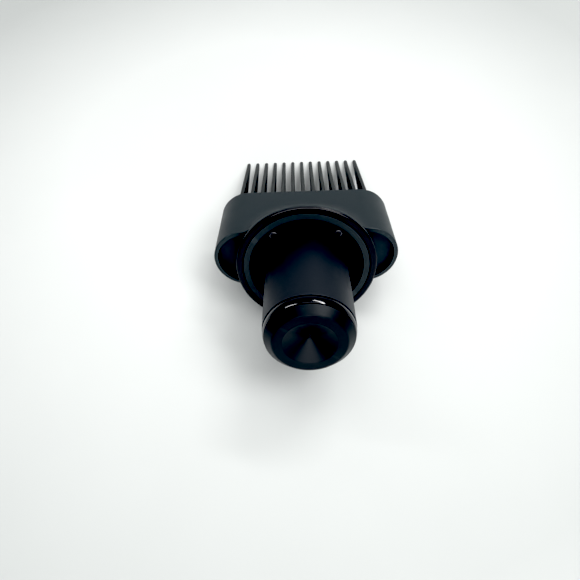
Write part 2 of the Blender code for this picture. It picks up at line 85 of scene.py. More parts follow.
# Sizes of the casing, in metres -----------------------------------------------------------
COLLAR_RADIUS = turned_span("collar_ring")[3]
NECK_START = 0.00115             # where the shell's neck begins
NECK_SHOULDER = 0.0020           # end of the neck's straight part
NECK_EDGE = 0.00045              # rounding of its rear edge
NECK_SLOPE = 0.65                # fall of the hood towards the flat body
NECK_NARROWING = 0.12            # the hood gets narrower more slowly than lower
BODY_WIDTH_REAR = 0.0890
BODY_WIDTH_FRONT = 0.0876
BODY_TOP = 0.0152                # flat of the top, above the axis
BODY_BOTTOM = 0.0162             # flat of the underside, below it
BODY_REAR = 0.0093
BODY_FRONT = 0.0463
RIM = 0.0020                     # wall round the two end recesses and the front opening
WALL = 0.0026                    # wall of the body between them
HOOD_WALL = 0.0020
EDGE = 0.0005                    # rounding of the body's outer edges
RIM_EDGE = 0.0003                # rounding round the recesses and the front opening
FILLET = 0.0040                  # blend between hood and body
LEDGE = 0.0142                   # seat of the end covers
PLATE_SEAT = 0.0430              # seat of the comb's plate
GAP = 0.0003                     # room between pieces that touch

TURN_STEPS = 192                 # points round a turned piece


# Ways of making a mesh ----------------------------------------------------------------
def arc_points(start, end, middle, steps):
    """Points on the shorter arc about middle, from start to end."""
    first = atan2(start.y - middle.y, start.x - middle.x)
    turn = atan2(end.y - middle.y, end.x - middle.x) - first
    turn = (turn + pi) % (2 * pi) - pi
    radius = (start - middle).length
    angles = [first + turn * k / steps for k in range(steps + 1)]
    return [(middle.x + radius * cos(a), middle.y + radius * sin(a)) for a in angles]


def rounded(corners, steps=6):
    """A closed outline of (u, v, radius) corners, each drawn as an arc of its radius."""
    outline = []
    for i, (u, v, radius) in enumerate(corners):
        if radius == 0:
            outline.append((u, v))
            continue
        corner = Vector((u, v))
        before = (Vector(corners[i - 1][:2]) - corner).normalized()
        after = (Vector(corners[(i + 1) % len(corners)][:2]) - corner).normalized()
        half = before.angle(after) / 2
        reach = radius / tan(half)
        middle = corner + (before + after).normalized() * (radius / sin(half))
        outline += arc_points(corner + before * reach, corner + after * reach, middle, steps)
    return outline


def mesh_from(shape):
    bmesh.ops.recalc_face_normals(shape, faces=shape.faces)
    mesh = bpy.data.meshes.new("made")
    shape.to_mesh(mesh)
    shape.free()
    return mesh


def turned_mesh(outline, closed=True, steps=TURN_STEPS, middle=(0.0, 0.0)):
    """An outline of (radius, y) points turned about an axis along Y at (x, z) = middle."""
    shape = bmesh.new()
    rings = []
    for radius, y in outline:
        count = 1 if radius < 1e-7 else steps
        angles = [2 * pi * k / count for k in range(count)]
        rings.append([shape.verts.new(
            (middle[0] + radius * sin(a), y, middle[1] + radius * cos(a))) for a in angles])
    following = rings[1:] + rings[:1] if closed else rings[1:]
    for near, far in zip(rings, following):
        for i in range(steps):
            j = (i + 1) % steps
            around = (near[i % len(near)], near[j % len(near)], far[j % len(far)], far[i % len(far)])
            corners = list(dict.fromkeys(around))
            if len(corners) > 2:
                shape.faces.new(corners)
    return mesh_from(shape)


def loft_mesh(sections, flat=True):
    """A closed skin through sections of (x, y, z) points that all have the same count.

    With flat, its twisted quads are split into triangles, as an exact cut needs."""
    shape = bmesh.new()
    rings = [[shape.verts.new(point) for point in section] for section in sections]
    count = len(rings[0])
    for near, far in zip(rings, rings[1:]):
        for i in range(count):
            j = (i + 1) % count
            shape.faces.new((near[i], near[j], far[j], far[i]))
    shape.faces.new(rings[0])
    shape.faces.new(rings[-1])
    if flat:
        quads = [face for face in shape.faces if len(face.verts) == 4]
        bmesh.ops.triangulate(shape, faces=quads)
    return mesh_from(shape)


def prism_mesh(outline, rear, front):
    """An outline of (x, z) points drawn out along Y."""
    return loft_mesh([[(x, y, z) for x, z in outline] for y in (rear, front)], flat=False)


def joined_mesh(meshes):
    """Separate closed meshes as one mesh."""
    shape = bmesh.new()
    for mesh in meshes:
        shape.from_mesh(mesh)
        bpy.data.meshes.remove(mesh)
    return mesh_from(shape)


def work_object(mesh):
    made = bpy.data.objects.new("work", mesh)
    bpy.context.scene.collection.objects.link(made)
    return made


def solid(base, *steps):
    """base after exact cuts and unions: each step is an operation and a mesh."""
    body = work_object(base)
    tools = []
    for operation, mesh in steps:
        tools.append(work_object(mesh))
        step = body.modifiers.new("step", "BOOLEAN")
        step.operation = operation
        step.object = tools[-1]
    bpy.context.view_layer.update()
    seen = bpy.context.evaluated_depsgraph_get()
    made = bpy.data.meshes.new_from_object(body.evaluated_get(seen))
    for used in [body] + tools:
        mesh = used.data
        bpy.data.objects.remove(used)
        bpy.data.meshes.remove(mesh)
    shape = bmesh.new()
    shape.from_mesh(made)
    bmesh.ops.remove_doubles(shape, verts=shape.verts, dist=1e-7)
    bmesh.ops.dissolve_degenerate(shape, edges=shape.edges, dist=1e-7)
    shape.to_mesh(made)
    shape.free()
    return made


def add_piece(name, mesh, finish, slot, *nodes, smooth_below=radians(32)):
    """A finished piece, drawn in the axis frame, that stands for CAD nodes."""
    mesh.name = name
    mesh.transform(AXIS)
    piece = bpy.data.objects.new(name, mesh)
    bpy.context.scene.collection.objects.link(piece)
    mesh.materials.append(finish)
    mesh.shade_smooth()
    mesh.set_sharp_from_angle(angle=smooth_below)
    even = piece.modifiers.new("even_normals", "WEIGHTED_NORMAL")
    even.keep_sharp = True
    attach(piece, "root")
    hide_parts(*nodes)
    return piece


# Materials ------------------------------------------------------------------------------
def add_node(tree, kind, inputs=(), **settings):
    """A node whose inputs are given as (socket, value or linked output) pairs."""
    made = tree.nodes.new(kind)
    for key, value in settings.items():
        setattr(made, key, value)
    for key, value in inputs:
        if isinstance(value, bpy.types.NodeSocket):
            tree.links.new(value, made.inputs[key])
        else:
            made.inputs[key].default_value = value
    return made


def new_material(name):
    made = bpy.data.materials.new(name)
    made.use_nodes = True
    shader = made.node_tree.nodes["Principled BSDF"]
    return made, made.node_tree, shader


def noise(tree, place, size, detail=2.0, roughness=0.5):
    """Noise whose features are about size metres across, from 0 to 1."""
    inputs = [("Vector", place), ("Scale", 1.0 / size), ("Detail", detail), ("Roughness", roughness)]
    return add_node(tree, "ShaderNodeTexNoise", inputs).outputs["Fac"]


def ranged(tree, value, low, high, to_low, to_high):
    """value from low..high mapped to to_low..to_high, and held there beyond."""
    inputs = [("Value", value), ("From Min", low), ("From Max", high),
              ("To Min", to_low), ("To Max", to_high)]
    return add_node(tree, "ShaderNodeMapRange", inputs, clamp=True).outputs["Result"]


def math(tree, operation, first, second=0.0):
    return add_node(tree, "ShaderNodeMath", [(0, first), (1, second)], operation=operation).outputs[0]


def mixed(tree, share, first, second):
    """Colour from first to second as share goes from 0 to 1."""
    made = add_node(tree, "ShaderNodeMix", data_type="RGBA")
    for key, value in ((0, share), (6, first), (7, second)):
        if isinstance(value, bpy.types.NodeSocket):
            tree.links.new(value, made.inputs[key])
        else:
            made.inputs[key].default_value = value
    return made.outputs[2]


def shade(colour, factor):
    return (colour[0] * factor, colour[1] * factor, colour[2] * factor, 1.0)


def axis_place(tree):
    """The shading point in the axis frame."""
    back = AXIS.inverted()
    inputs = [("Vector", add_node(tree, "ShaderNodeTexCoord").outputs["Object"]),
              ("Location", back.translation), ("Rotation", back.to_euler())]
    return add_node(tree, "ShaderNodeMapping", inputs).outputs[0]


def scratches(tree, place, width, length, amount):
    """Fine straight scratches: thin ridges of stretched noise, only where a patch allows."""
    scale = add_node(tree, "ShaderNodeMapping",
                     [("Vector", place), ("Rotation", (0.3, 0.2, 0.6)),
                      ("Scale", (1.0 / width, 1.0 / length, 1.0 / width))])
    fine = add_node(tree, "ShaderNodeTexNoise",
                    [("Vector", scale.outputs[0]), ("Scale", 1.0), ("Detail", 1.0)]).outputs["Fac"]
    line = ranged(tree, fine, 0.70, 0.76, 0.0, 1.0)
    patch = ranged(tree, noise(tree, place, 0.006), 0.48, 0.62, 0.0, amount)
    return math(tree, "MULTIPLY", line, patch)


def satin_plastic(name, colour, roughness, grain=0.00022, depth=0.000012, wear_and_highlight=0.5, scratch=0.0,
                  ior=1.42):
    """Moulded plastic with a fine matte grain, faint handling marks and paler edges, partly rubbed and
    partly a painted highlight.
    """
    made, tree, shader = new_material(name)
    shader.inputs["IOR"].default_value = ior
    place = axis_place(tree)
    grains = noise(tree, place, grain, detail=3.0, roughness=0.6)
    cloud = noise(tree, place, 0.012, detail=3.0)
    edge = add_node(tree, "ShaderNodeNewGeometry").outputs["Pointiness"]
    # Paler convex edges from pointiness: partly rubbing, partly a painted highlight on edges that catch
    # the light.
    worn_and_highlit_edge = ranged(tree, edge, 0.515, 0.56, 0.0, wear_and_highlight)
    tone = mixed(tree, ranged(tree, cloud, 0.3, 0.7, 0.0, 1.0), shade(colour, 0.93), shade(colour, 1.08))
    grained = mixed(tree, ranged(tree, grains, 0.35, 0.65, 0.0, 1.0), tone, shade(colour, 1.15))
    pale = mixed(tree, worn_and_highlit_edge, grained, shade(colour, 1.9))
    rough = ranged(tree, cloud, 0.25, 0.75, roughness - 0.04, roughness + 0.04)
    if scratch:
        marks = scratches(tree, place, 0.00016, 0.0040, scratch)
        pale = mixed(tree, marks, pale, shade(colour, 4.0))
    tree.links.new(pale, shader.inputs["Base Color"])
    tree.links.new(rough, shader.inputs["Roughness"])
    bump = add_node(tree, "ShaderNodeBump",
                    [("Height", grains), ("Strength", 1.0), ("Distance", depth)])
    tree.links.new(bump.outputs[0], shader.inputs["Normal"])
    return made


def gloss_plastic(name, colour, roughness):
    """Polished plastic: faint hairlines and smears in the roughness, almost no bump."""
    made, tree, shader = new_material(name)
    place = axis_place(tree)
    smear = noise(tree, place, 0.004, detail=4.0)
    hair = scratches(tree, place, 0.00010, 0.0030, 0.6)
    rough = ranged(tree, smear, 0.3, 0.8, roughness, roughness + 0.06)
    rough = math(tree, "ADD", rough, math(tree, "MULTIPLY", hair, 0.2))
    tree.links.new(rough, shader.inputs["Roughness"])
    tone = mixed(tree, ranged(tree, smear, 0.4, 0.7, 0.0, 1.0), shade(colour, 1.0), shade(colour, 1.6))
    tree.links.new(tone, shader.inputs["Base Color"])
    wave = noise(tree, place, 0.009, detail=1.0)
    bump = add_node(tree, "ShaderNodeBump",
                    [("Height", wave), ("Strength", 0.3), ("Distance", 0.00002)])
    tree.links.new(bump.outputs[0], shader.inputs["Normal"])
    shader.inputs["IOR"].default_value = 1.52
    return made


def bare_metal(name, colour, roughness, grain):
    """Metal with fine turning marks round the plug's axis and a few darker spots."""
    made, tree, shader = new_material(name)
    shader.inputs["Metallic"].default_value = 1.0
    place = axis_place(tree)
    marks = noise(tree, place, grain, detail=3.0)
    spots = noise(tree, place, 0.0012, detail=2.0)
    tone = mixed(tree, ranged(tree, spots, 0.55, 0.75, 0.0, 0.6), shade(colour, 1.0), shade(colour, 0.6))
    tree.links.new(tone, shader.inputs["Base Color"])
    tree.links.new(ranged(tree, marks, 0.3, 0.7, roughness - 0.08, roughness + 0.12),
                   shader.inputs["Roughness"])
    bump = add_node(tree, "ShaderNodeBump",
                    [("Height", marks), ("Strength", 0.5), ("Distance", 0.00001)])
    tree.links.new(bump.outputs[0], shader.inputs["Normal"])
    return made


# The shell's strong edge paling is mostly a painted highlight, standing in for the light line along the
# neck's edge.
SATIN_SHELL = satin_plastic("satin_shell", (0.023, 0.030, 0.032), 0.48, wear_and_highlight=0.9, ior=1.50)
SATIN_COMB = satin_plastic("satin_comb", (0.015, 0.018, 0.016), 0.50, ior=1.50)
SATIN_PLUG = satin_plastic("satin_plug", (0.020, 0.023, 0.026), 0.48)
SATIN_NOSE = satin_plastic("satin_nose", (0.009, 0.012, 0.013), 0.40, scratch=1.0)
DARK_COVER = satin_plastic("dark_cover", (0.027, 0.035, 0.039), 0.46, wear_and_highlight=0.2)
SLATE_FACE = satin_plastic("slate_face", (0.034, 0.041, 0.043), 0.52, grain=0.00015)
INNER_PLASTIC = satin_plastic("inner_plastic", (0.005, 0.005, 0.006), 0.60, wear_and_highlight=0.2)
GLOSS_TRIM = gloss_plastic("gloss_trim", (0.003, 0.003, 0.004), 0.07)
STEEL_SCREW = bare_metal("steel_screw", (0.13, 0.13, 0.135), 0.36, 0.00015)
NICKEL_MAGNET = bare_metal("nickel_magnet", (0.62, 0.60, 0.56), 0.24, 0.00030)


# Outlines across the axis ---------------------------------------------------------------
def stadium_point(half_width, half_height, along):
    """A point of a stadium's upper right quarter, from its side (0) to its middle (1)."""
    straight = half_width - half_height
    arc = half_height * pi / 2
    distance = along * (arc + straight)
    if distance < arc:
        angle = distance / half_height
        return straight + half_height * cos(angle), half_height * sin(angle)
    return straight - (distance - arc), half_height


def outline_directions(quarter):
    """Directions that share the points of the body's outline evenly round it."""
    angles = []
    for i in range(quarter):
        x, z = stadium_point(BODY_WIDTH_REAR / 2, BODY_TOP, i / quarter)
        angles.append(atan2(z, x))
    upper = angles + [pi / 2] + [pi - a for a in reversed(angles)]
    return upper + [a + pi for a in upper[1:-1]]


DIRECTIONS = outline_directions(56)
INNER_DIRECTIONS = outline_directions(28)


def stadium_radius(angle, half_width, half_height):
    c, s = abs(cos(angle)), abs(sin(angle))
    straight = half_width - half_height
    if s * straight >= c * half_height:
        return half_height / s
    return straight * c + sqrt(half_height ** 2 - (straight * s) ** 2)


def oval_radius(angle, half_width, half_height, power=2.0):
    c, s = abs(cos(angle)), abs(sin(angle))
    return ((c / half_width) ** power + (s / half_height) ** power) ** (-1.0 / power)


def blend_larger(first, second):
    """The larger of two radii, rounded where they cross."""
    near = max(FILLET - abs(first - second), 0.0) / FILLET
    return max(first, second) + near * near * FILLET / 4


def section(y, radius_of, directions):
    made = []
    for a in directions:
        radius = radius_of(a)
        made.append((radius * cos(a), y, radius * sin(a)))
    return made


def body_half_width(y):
    share = (y - BODY_REAR) / (BODY_FRONT - BODY_REAR)
    return (BODY_WIDTH_REAR + (BODY_WIDTH_FRONT - BODY_WIDTH_REAR) * share) / 2


def body_reach(angle):
    """The flat's distance from the axis on the side that a direction points to."""
    return BODY_TOP if sin(angle) >= 0.0 else BODY_BOTTOM


def hood_size(y, inset=0.0):
    """Half width and half height of the hood's oval."""
    beyond = max(y - NECK_SHOULDER, 0.0)
    half_width = COLLAR_RADIUS - NECK_NARROWING * beyond - inset
    half_height = COLLAR_RADIUS - NECK_SLOPE * beyond - inset
    return half_width, max(half_height, BODY_TOP / 2)


def neck_section(y, inset, directions=DIRECTIONS):
    size = hood_size(y, inset)
    return section(y, lambda a: oval_radius(a, *size), directions)


def body_section(y, body_inset, hood_inset, directions=DIRECTIONS):
    size = hood_size(y, hood_inset)
    half_width = body_half_width(y) - body_inset
    return section(y, lambda a: blend_larger(
        stadium_radius(a, half_width, body_reach(a) - body_inset), oval_radius(a, *size)), directions)


def edge_arc(radius, steps=5):
    """(along, inset) pairs round an edge, from its face to its side."""
    turns = [pi / 2 * k / steps for k in range(steps + 1)]
    return [(radius * (1 - cos(t)), radius * (1 - sin(t))) for t in turns]


def stations(rear, front, count):
    return [rear + (front - rear) * k / count for k in range(count + 1)]


# Casing and its covers ------------------------------------------------------------------
COVER_EDGE = 0.0003


def ear_outline(grow, neck_gap, steps=40):
    """The space between the round neck and the right end of the body, as (x, z) points."""
    half_width = body_half_width(BODY_REAR) - RIM + grow
    neck_width, neck_height = hood_size(BODY_REAR, -neck_gap)
    upper = asin((BODY_TOP - RIM + grow) / neck_height)
    lower = asin((BODY_BOTTOM - RIM + grow) / neck_height)
    outline = []
    for i in range(steps + 1):
        angle = pi / 2 - pi * i / steps
        reach = body_reach(angle) - RIM + grow
        outline.append((half_width - reach + reach * cos(angle), reach * sin(angle)))
    for i in range(steps + 1):
        angle = -lower + (lower + upper) * i / steps
        outline.append((neck_width * cos(angle), neck_height * sin(angle)))
    return outline


def ear_section(side, y, grow, neck_gap=0.0):
    return [(side * x, y, z) for x, z in ear_outline(grow, neck_gap)]


def casing():
    """Neck, hood and flat body as one skin, hollowed, with a recess at each end."""
    skin = [neck_section(NECK_START + along, inset) for along, inset in edge_arc(NECK_EDGE)]
    skin += [neck_section(y, 0.0) for y in stations(NECK_SHOULDER, BODY_REAR - 0.00002, 6)]
    skin += [body_section(BODY_REAR + along, inset, 0.0) for along, inset in edge_arc(EDGE)]
    skin += [body_section(y, 0.0, 0.0) for y in stations(0.0108, 0.0330, 24)]
    skin += [body_section(y, 0.0, 0.0) for y in (0.037, 0.041, BODY_FRONT - 0.0012)]
    front = [body_section(BODY_FRONT - along, inset, 0.0) for along, inset in edge_arc(EDGE)]
    skin += reversed(front)

    hollow = [neck_section(y, HOOD_WALL, INNER_DIRECTIONS) for y in (0.0005, NECK_SHOULDER)]
    hollow += [neck_section(y, HOOD_WALL, INNER_DIRECTIONS) for y in (0.008, LEDGE - 0.0001)]
    hollow += [body_section(y, WALL, HOOD_WALL, INNER_DIRECTIONS) for y in stations(LEDGE, 0.0320, 9)]
    hollow.append(body_section(PLATE_SEAT - 0.0001, WALL, HOOD_WALL, INNER_DIRECTIONS))
    hollow.append(body_section(PLATE_SEAT, RIM, HOOD_WALL, INNER_DIRECTIONS))
    hollow.append(body_section(BODY_FRONT - RIM_EDGE, RIM, HOOD_WALL, INNER_DIRECTIONS))
    hollow.append(body_section(BODY_FRONT + RIM_EDGE, RIM - 2 * RIM_EDGE, HOOD_WALL, INNER_DIRECTIONS))
    steps = [("DIFFERENCE", loft_mesh(hollow))]
    for side in (-1, 1):
        recess = [ear_section(side, BODY_REAR - 0.001, RIM_EDGE)]
        recess += [ear_section(side, BODY_REAR + along, RIM_EDGE - inset)
                   for inset, along in reversed(edge_arc(RIM_EDGE))]
        recess.append(ear_section(side, LEDGE + GAP, 0.0))
        steps.append(("DIFFERENCE", loft_mesh(recess)))
    add_piece("casing", solid(loft_mesh(skin), *steps), SATIN_SHELL, "satin_shell", "outer_shell")


def end_covers():
    """The dark panels in the two end recesses."""
    for side, word in ((-1, "left"), (1, "right")):
        node = f"{word}_end_cover"
        lengths = [p.y for p in axis_points(node)]
        rear, front = min(lengths), max(lengths)
        sections = [ear_section(side, rear + along, -GAP - inset, GAP + inset)
                    for along, inset in edge_arc(COVER_EDGE)]
        sections.append(ear_section(side, front, -GAP, GAP))
        add_piece(f"{word}_cover", loft_mesh(sections), DARK_COVER, "dark_cover", node)


# Collar -----------------------------------------------------------------------------------
def gloss_ring():
    """The thin glossy ring: a lip with an elliptical shoulder, and a sleeve that plugs in."""
    rear, front, bore, outer = turned_span("collar_ring")
    lip, shoulder_width, shoulder_depth = 0.00075, 0.0012, 0.00055
    sleeve = bore + 0.0006
    corners = [
        (outer, rear + lip, 0.0), (sleeve, rear + lip, 0.0), (sleeve, front, 0.0),
        (bore, front, 0.0), (bore, rear, 0.00015),
    ]
    outline = rounded(corners)
    for along, inset in edge_arc(1.0, steps=10):
        outline.append((outer - shoulder_width * inset, rear + shoulder_depth * along))
    add_piece("gloss_ring", turned_mesh(outline), GLOSS_TRIM, "gloss_trim", "collar_ring")


def slate_ring():
    """The mating face, with a pocket cut behind it for each magnet."""
    rear, front, inner, outer = turned_span("magnet_carrier")
    taper_start, taper_depth = 0.0029, 0.0012
    corners = [
        (inner, rear, 0.0002), (outer, rear, 0.00015), (outer, taper_start, 0.0),
        (outer - taper_depth, front, 0.0), (inner, front, 0.0),
    ]
    blocks = []
    magnets = sorted(n for n in frame["nodes"] if n.startswith("magnet_") and n[-1].isdigit())
    for node in magnets:
        points = axis_points(node)
        sizes = [hypot(p.x, p.z) for p in points]
        middle = sum(points, Vector()) / len(points)
        centre = atan2(middle.x, middle.z)
        turns = [(atan2(p.x, p.z) - centre + pi) % (2 * pi) - pi for p in points]
        low, high = min(turns) - GAP / outer, max(turns) + GAP / outer
        angles = [centre + a for a in stations(low, high, 12)]
        out = [((max(sizes) + GAP) * sin(a), (max(sizes) + GAP) * cos(a)) for a in angles]
        back = [((min(sizes) - GAP) * sin(a), (min(sizes) - GAP) * cos(a)) for a in reversed(angles)]
        floor = min(p.y for p in points) - GAP
        blocks.append(("DIFFERENCE", prism_mesh(out + back, floor, front + 0.001)))
    ring = solid(turned_mesh(rounded(corners)), *blocks)
    add_piece("slate_ring", ring, SLATE_FACE, "slate_face", "magnet_carrier")


# Plug ---------------------------------------------------------------------------------------
def plug_sleeve():
    rear, front, bore, outer = turned_span("plug_tube")
    corners = [
        (bore, rear, 0.0001), (outer, rear, 0.0003), (outer, front, 0.0003), (bore, front, 0.0001),
    ]
    outline = rounded(corners)
    add_piece("plug_sleeve", turned_mesh(outline), SATIN_PLUG, "satin_plug", "plug_tube")


def trim_band():
    """The glossy band: slightly conical and slightly convex."""
    rear, front, bore, _ = turned_span("plug_trim_ring")
    rear_radius, front_radius, bulge = 0.0188, 0.0192, 0.0003
    outline = []
    for share in stations(0.0, 1.0, 24):
        radius = rear_radius + (front_radius - rear_radius) * share + bulge * sin(pi * share)
        outline.append((radius, rear + (front - rear) * share))
    outline += [(bore, front), (bore, rear)]
    add_piece("trim_band", turned_mesh(outline), GLOSS_TRIM, "gloss_trim", "plug_trim_ring")


def nose():
    """The tapered cap with a conical dish, a pit in its middle and a hollow boss inside."""
    end = turned_span("nose_cap")[0]
    rear_of_band = turned_span("plug_trim_ring")[0]
    front = rear_of_band - GAP
    skirt = turned_span("plug_tube")[2] - GAP
    skirt_bore, skirt_front = 0.0157, -0.0360
    boss, boss_bore, boss_front, bore_end = 0.0036, 0.00155, -0.0260, -0.0400
    dish, depth, wall = 0.0113, 0.0047, 0.0018
    floor = end + depth
    slope = depth / dish
    corners = [
        (0.0, bore_end, 0.0), (boss_bore, bore_end, 0.0), (boss_bore, boss_front, 0.0),
        (boss, boss_front, 0.0002), (boss, floor + wall, 0.0003),
        (0.0115, floor + wall - slope * 0.0079, 0.0), (0.0138, -0.0470, 0.0),
        (skirt_bore, -0.0448, 0.0), (skirt_bore, skirt_front, 0.0), (skirt, skirt_front, 0.0002),
        (skirt, front, 0.0), (0.0187, front, 0.00012), (0.01865, front - 0.00025, 0.0),
        (0.01545, end, 0.0014), (dish, end, 0.0004), (0.0010, floor, 0.0004),
        (0.0008, floor - 0.0004, 0.0001), (0.0, floor - 0.0005, 0.0),
    ]
    outline = rounded(corners, steps=8)
    add_piece("nose", turned_mesh(outline, closed=False), SATIN_NOSE, "satin_nose", "nose_cap")


# Air path -----------------------------------------------------------------------------------
DUCT_WALL = 0.0013
DUCT_MOUTH = 0.0267
DUCT_WAIST = 0.024
DUCT_WAIST_HEIGHT = 0.0085
DUCT_WAIST_WIDTH = 0.0273
DUCT_END_WIDTH = 0.0345
DUCT_DROP = 0.0062
PILLAR_X = 0.0384
PILLAR_RADIUS = 0.0019
PILLAR_BORE = 0.0012
PILLAR_REAR = 0.0198
LUG_REAR = 0.0176
LUG_THICKNESS = 0.0018
LUG_HALF_WIDTH = 0.004
SCREW_HOLE = 0.0012
SPIDER_BOSS = 0.0026             # bosses that the collar screws go through
SPIDER_BOSS_ENDS = (0.0033, 0.0057)
DUCT_BOSS = 0.0021               # bosses on the duct that they screw into
DUCT_BOSS_ENDS = (0.0062, 0.0128)
DUCT_LUG_HOLE = 0.0014
HUB_FRONT = 0.0120
HUB_DISC_ENDS = (0.0070, 0.0088)  # the disc that closes the hub
BAND_RADII = (0.0253, 0.0264)
BAND_ENDS = (0.0012, 0.0056)
VANE_THICKNESS = 0.0014
DIVERTER_ROUND = 0.0193          # its radius at the hub
DIVERTER_TIP = (0.0250, 0.0022)  # half width and half height of its far edge
DIVERTER_WALL = 0.0014
DIVERTER_HOLLOW_END = 0.030


def rod_mesh(radius, rear, front, x=0.0, z=0.0, steps=32):
    """A closed cylinder along Y."""
    outline = [(0.0, rear), (radius, rear), (radius, front), (0.0, front)]
    return turned_mesh(outline, closed=False, steps=steps, middle=(x, z))


def block_mesh(low, high):
    """A box between two opposite corners."""
    outline = [(low[0], low[2]), (high[0], low[2]), (high[0], high[2]), (low[0], high[2])]
    return prism_mesh(outline, low[1], high[1])


def node_middle(node):
    """The (x, z) place of a round CAD node that lies along Y."""
    points = axis_points(node)
    low = Vector([min(p[k] for p in points) for k in range(3)])
    high = Vector([max(p[k] for p in points) for k in range(3)])
    middle = (low + high) / 2
    return middle.x, middle.z


COLLAR_SCREWS = sorted(n for n in frame["nodes"] if n.startswith("collar_screw_"))


def at_screws(radius, rear, front):
    """A rod at each collar screw, as one mesh."""
    rods = []
    for node in COLLAR_SCREWS:
        x, z = node_middle(node)
        rods.append(rod_mesh(radius, rear, front, x, z))
    return joined_mesh(rods)


def duct_section(y, rear, front, wall):
    """The duct's oval at y: round at the collar, flat at the waist, square at the comb."""
    if y < DUCT_WAIST:
        half_height = DUCT_MOUTH - NECK_SLOPE * (y - rear)
        half_width = DUCT_MOUTH + (DUCT_WAIST_WIDTH - DUCT_MOUTH) * min((y - rear) / 0.006, 1.0)
        power = 2.0
    else:
        share = (y - DUCT_WAIST) / (front - DUCT_WAIST)
        half_height = DUCT_WAIST_HEIGHT + DUCT_DROP * (1 - share) ** 2.2
        half_width = DUCT_WAIST_WIDTH + (DUCT_END_WIDTH - DUCT_WAIST_WIDTH) * share
        power = 2.0 + 2.0 * share
    return section(y, lambda a: oval_radius(a, half_width + wall, half_height + wall, power),
                   INNER_DIRECTIONS)


def duct():
    """The duct with its two lugs and four screw bosses."""
    lengths = [p.y for p in axis_points("inner_duct")]
    rear, front = min(lengths), max(lengths)
    places = stations(rear, DUCT_WAIST, 10) + stations(DUCT_WAIST, front, 8)[1:]
    outside = [duct_section(y, rear, front, DUCT_WALL) for y in places]
    inside = [duct_section(y, rear, front, 0.0) for y in places]
    inside[0] = [(x, y - 0.002, z) for x, y, z in inside[0]]
    inside[-1] = [(x, y + 0.002, z) for x, y, z in inside[-1]]
    lugs = []
    holes = [at_screws(SCREW_HOLE, 0.0050, 0.0116)]
    for side in (-1, 1):
        near, far = sorted((side * 0.0262, side * (PILLAR_X + 0.0018)))
        lugs.append(block_mesh((near, LUG_REAR, -LUG_HALF_WIDTH),
                               (far, LUG_REAR + LUG_THICKNESS, LUG_HALF_WIDTH)))
        holes.append(rod_mesh(DUCT_LUG_HOLE, LUG_REAR - 0.001, LUG_REAR + 0.003, side * PILLAR_X))
    made = solid(
        loft_mesh(outside), ("UNION", joined_mesh(lugs)), ("DIFFERENCE", loft_mesh(inside)),
        ("UNION", at_screws(DUCT_BOSS, *DUCT_BOSS_ENDS)), ("DIFFERENCE", joined_mesh(holes)))
    add_piece("duct", made, INNER_PLASTIC, "inner_plastic", "inner_duct")


def diverter():
    """The hollow wedge that spreads the air from a ring to the comb's flat mouth."""
    lengths = [p.y for p in axis_points("flow_diverter")]
    rear, front = min(lengths), max(lengths)

    def oval(y, inset):
        share = (y - rear) / (front - rear)
        half_width = DIVERTER_ROUND + (DIVERTER_TIP[0] - DIVERTER_ROUND) * share - inset
        half_height = DIVERTER_ROUND + (DIVERTER_TIP[1] - DIVERTER_ROUND) * share - inset
        return section(y, lambda a: oval_radius(a, half_width, half_height), INNER_DIRECTIONS)

    tip = [oval(front - along, inset) for along, inset in edge_arc(0.0006)]
    outside = [oval(y, 0.0) for y in stations(rear, front - 0.0009, 10)] + tip[::-1]
    inside = [oval(y, DIVERTER_WALL) for y in stations(rear, DIVERTER_HOLLOW_END, 6)]
    inside[0] = [(x, y - 0.001, z) for x, y, z in inside[0]]
    made = solid(loft_mesh(outside), ("DIFFERENCE", loft_mesh(inside)))
    add_piece("diverter", made, INNER_PLASTIC, "inner_plastic", "flow_diverter")


def spider():
    """The hub that carries the plug, on six vanes inside a ring."""
    _, plug_front, plug_bore, hub_radius = turned_span("plug_tube")
    shoulder = plug_front + GAP
    spigot, spigot_bore, spigot_rear = plug_bore - GAP, 0.0157, 0.0010
    tie_bore, front_bore = 0.0016, 0.0169
    disc_rear, disc_front = HUB_DISC_ENDS
    hub = [
        (hub_radius - 0.0004, HUB_FRONT, 0.0), (hub_radius, 0.0116, 0.0),
        (hub_radius, shoulder, 0.0002), (spigot, shoulder, 0.0),
        (spigot, spigot_rear, 0.0002), (spigot_bore, spigot_rear, 0.0),
        (spigot_bore, disc_rear, 0.0003), (tie_bore, disc_rear, 0.0002), (tie_bore, disc_front, 0.0),
        (front_bore, disc_front, 0.0003), (front_bore, HUB_FRONT, 0.0),
    ]
    band_inner, band_outer = BAND_RADII
    band_rear, band_front = BAND_ENDS
    band = [
        (band_outer, band_front, 0.0001), (band_outer, band_rear, 0.0003),
        (band_inner, band_rear, 0.0003), (band_inner, band_front, 0.0001),
    ]
    steps = [("UNION", turned_mesh(rounded(band), steps=96))]
    screws = [Vector(node_middle(node)) for node in COLLAR_SCREWS]
    angles = [atan2(place.x, place.y) for place in screws] + [pi / 2, -pi / 2]
    for i, angle in enumerate(angles):
        steps.append(("UNION", vane_mesh(angle, deep=i >= len(screws))))
    steps.append(("UNION", at_screws(SPIDER_BOSS, *SPIDER_BOSS_ENDS)))
    steps.append(("DIFFERENCE", at_screws(SCREW_HOLE, 0.0023, 0.0117)))
    made = solid(turned_mesh(rounded(hub), steps=96), *steps)
    add_piece("spider", made, INNER_PLASTIC, "inner_plastic", "core_spider")


